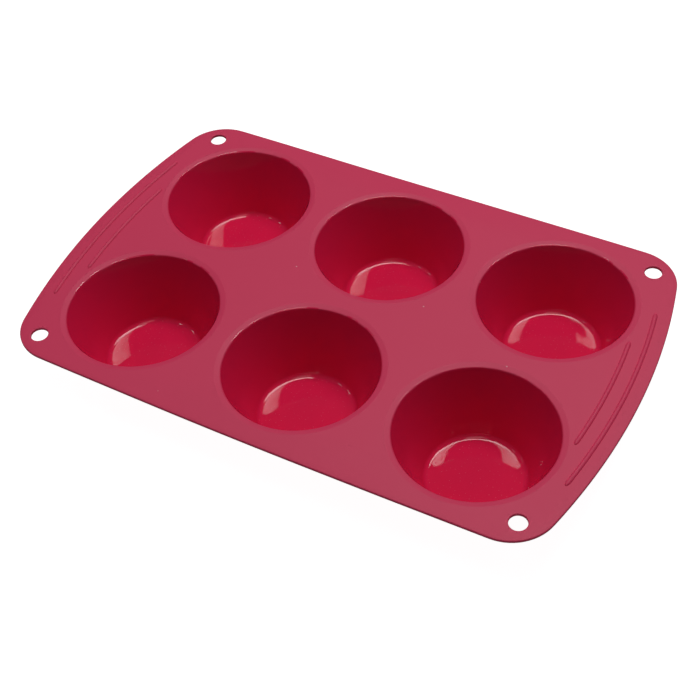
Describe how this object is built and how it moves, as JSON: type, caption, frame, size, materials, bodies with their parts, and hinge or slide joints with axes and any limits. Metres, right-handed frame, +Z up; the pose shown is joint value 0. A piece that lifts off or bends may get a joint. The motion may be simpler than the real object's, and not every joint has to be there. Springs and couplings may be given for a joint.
{
  "type": "muffin pan",
  "caption": "Flexible silicone muffin pan: a thin flat deck with bowed ends carries round tapered cups in two rows, with raised grip ribs and hanging holes.",
  "frame": {"origin": "middle of the footprint, on the plane that the six cup bases stand on", "axes": "+X along the pan's length, +Y towards its back, +Z up out of the cups"},
  "size_m": [0.275, 0.1744, 0.0337],
  "materials": {
    "silicone": "satin"
  },
  "bodies": {
    "root": {"deck": "silicone", "cup_front_left": "silicone", "cup_front_middle": "silicone", "cup_front_right": "silicone", "cup_back_left": "silicone", "cup_back_middle": "silicone", "cup_back_right": "silicone", "grip_rib_left_outer": "silicone", "grip_rib_left_inner": "silicone", "grip_rib_right_outer": "silicone", "grip_rib_right_inner": "silicone"}
  },
  "joints": []
}
